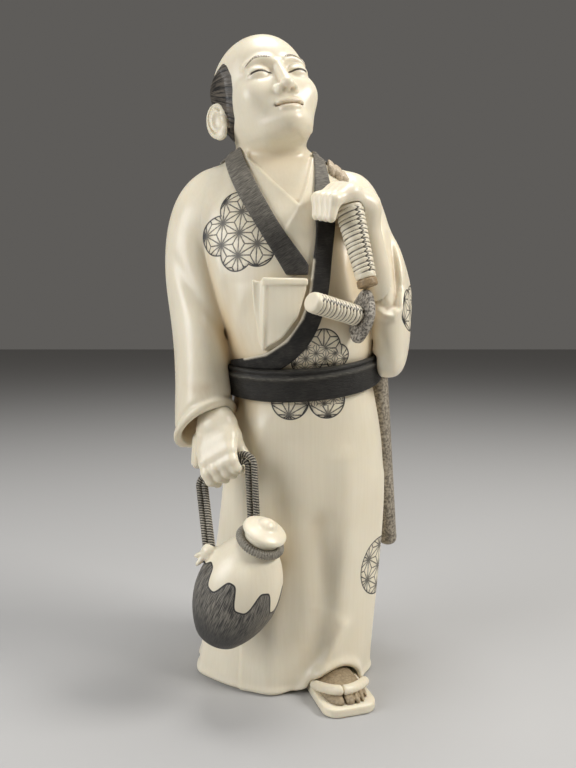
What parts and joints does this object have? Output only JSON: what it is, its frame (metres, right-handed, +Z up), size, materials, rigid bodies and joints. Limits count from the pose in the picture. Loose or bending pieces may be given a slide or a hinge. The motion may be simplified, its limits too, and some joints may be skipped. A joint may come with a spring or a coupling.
{
  "type": "okimono carving",
  "caption": "Carved standing figure in a belted robe with sword hilts, holding a lidded jar by a doubled rope handle that swings in the fist.",
  "frame": {"origin": "middle of the base cap's underside, on the surface the figure stands on", "axes": "+Z up, -Y the way the figure's body faces, +X on the viewer's right"},
  "size_m": [0.0846, 0.0746, 0.2193],
  "materials": {
    "ivory": "polished, warm cream with brown patina in the recesses",
    "pale_ivory": "polished, near white",
    "black_stain": "stained black over fine engraved lines, worn at the edges",
    "brown_stain": "stained tan brown",
    "grey_stain": "stained grey brown over fine stippling",
    "raw_ivory": "plain, unpolished"
  },
  "bodies": {
    "figure": {"skirt": "ivory", "torso": "ivory", "head": "ivory", "right_sleeve": "ivory", "left_sleeve": "ivory", "right_hand": "ivory", "left_hand": "ivory", "paper_packet": "pale_ivory", "long_hilt": "pale_ivory", "short_hilt": "pale_ivory", "sandal_sole": "pale_ivory", "sandal_strap": "pale_ivory", "obi": "black_stain", "right_collar": "black_stain", "left_collar": "black_stain", "hair": "black_stain", "shoulder_towel": "brown_stain", "left_foot": "brown_stain", "long_hilt_collar": "brown_stain", "long_scabbard": "grey_stain", "short_guard": "grey_stain", "base_cap": "raw_ivory", "waist_dowel": "raw_ivory", "neck_dowel": "raw_ivory", "right_hand_dowel": "raw_ivory", "left_hand_dowel": "raw_ivory", "long_hilt_dowel": "raw_ivory", "scabbard_dowel": "raw_ivory", "short_hilt_dowel": "raw_ivory", "foot_dowel": "raw_ivory"},
    "jar": {"jar": "ivory", "jar_cord": "black_stain", "outer_rope": "pale_ivory", "inner_rope": "pale_ivory"},
    "lid": {"jar_lid": "pale_ivory"}
  },
  "joints": [
    {"name": "jar_swing", "type": "hinge", "parent": "figure", "child": "jar", "pos_m": [-0.0206, -0.024, 0.0764], "axis": [-0.8307, 0.2259, -0.5088], "range_deg": [0, 20]},
    {"name": "lid_lift", "type": "slide", "parent": "jar", "child": "lid", "axis": [0.3784, -0.2582, 0.8889], "range_m": [0, 0.008]}
  ]
}
